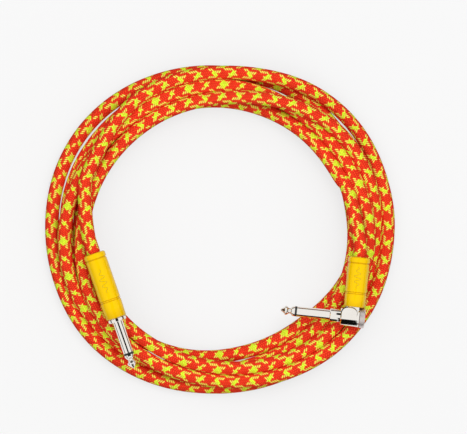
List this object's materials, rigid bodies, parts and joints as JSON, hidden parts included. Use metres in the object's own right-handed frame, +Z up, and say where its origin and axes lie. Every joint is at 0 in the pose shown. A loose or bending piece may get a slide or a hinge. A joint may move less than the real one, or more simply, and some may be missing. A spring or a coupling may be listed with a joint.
{
  "type": "instrument cable",
  "caption": "Coiled braided instrument cable with a straight and a right-angle 6.35 mm plug, each with a screw-on barrel.",
  "frame": {"origin": "centre of the cable's bounding box on the surface that the coil lies on", "axes": "+Z up out of that surface; the right-angle plug lies on the +X side of the coil and the straight plug on the -X side, both pointing towards -Y"},
  "size_m": [0.2163, 0.204, 0.0297],
  "materials": {
    "braid": "red-orange textile braid with yellow-green twill stripes",
    "barrel": "smooth satin yellow",
    "nickel": "bright warm nickel plate",
    "insulator": "black moulded plastic",
    "liner": "translucent natural tube",
    "tinned_brass": "tinned stamped brass",
    "jacket": "black conductive jacket",
    "core": "white core insulation",
    "copper": "bare stranded copper",
    "solder": "dull solder"
  },
  "bodies": {
    "cable": {"cable_coil": "braid", "straight_lead": "braid", "angle_lead": "braid", "straight_tip": "nickel", "straight_tip_ring": "insulator", "straight_inner_insulator": "insulator", "straight_rear_washer": "insulator", "straight_sleeve": "nickel", "straight_tip_lug": "tinned_brass", "straight_cable_clamp": "tinned_brass", "straight_inner_jacket": "jacket", "straight_core_insulation": "core", "straight_centre_wire": "copper", "straight_shield_tail": "copper", "straight_solder": "solder", "angle_tip": "nickel", "angle_tip_ring": "insulator", "angle_inner_insulator": "insulator", "angle_rear_washer": "insulator", "angle_sleeve": "nickel", "angle_tip_lug": "tinned_brass", "angle_cable_clamp": "tinned_brass", "angle_inner_jacket": "jacket", "angle_core_insulation": "core", "angle_centre_wire": "copper", "angle_shield_tail": "copper", "angle_solder": "solder", "angle_housing": "nickel"},
    "straight_liner": {"straight_liner": "liner"},
    "straight_barrel": {"straight_barrel": "barrel"},
    "angle_liner": {"angle_liner": "liner"},
    "angle_barrel": {"angle_barrel": "barrel"},
    "cap_disc": {"angle_cap_disc": "liner"},
    "end_cap": {"angle_end_cap": "nickel"}
  },
  "joints": [
    {"name": "straight_barrel_slide", "type": "slide", "parent": "cable", "child": "straight_liner", "axis": [-0.3289, 0.9444, 0], "range_m": [0, 0.006]},
    {"name": "straight_barrel_turn", "type": "hinge", "parent": "straight_liner", "child": "straight_barrel", "pos_m": [-0.0773, -0.0151, 0.02285], "axis": [-0.3289, 0.9444, 0], "range_deg": [0, 2160]},
    {"name": "angle_barrel_slide", "type": "slide", "parent": "cable", "child": "angle_liner", "axis": [0.1045, 0.9945, 0], "range_m": [0, 0.005]},
    {"name": "angle_barrel_turn", "type": "hinge", "parent": "angle_liner", "child": "angle_barrel", "pos_m": [0.0869, -0.0174, 0.02285], "axis": [0.1045, 0.9945, 0], "range_deg": [0, 1800]},
    {"name": "end_cap_slide", "type": "slide", "parent": "cable", "child": "cap_disc", "axis": [0.9945, -0.1045, 0], "range_m": [0, 0.00225]},
    {"name": "end_cap_turn", "type": "hinge", "parent": "cap_disc", "child": "end_cap", "pos_m": [0.08299, -0.05459, 0.02285], "axis": [0.9945, -0.1045, 0], "range_deg": [0, 1080]}
  ],
  "couplings": [
    {"joint": "straight_barrel_turn", "follows": "straight_barrel_slide", "rad_per_m": 6283.2},
    {"joint": "angle_barrel_turn", "follows": "angle_barrel_slide", "rad_per_m": 6283.2},
    {"joint": "end_cap_turn", "follows": "end_cap_slide", "rad_per_m": 8377.6}
  ]
}
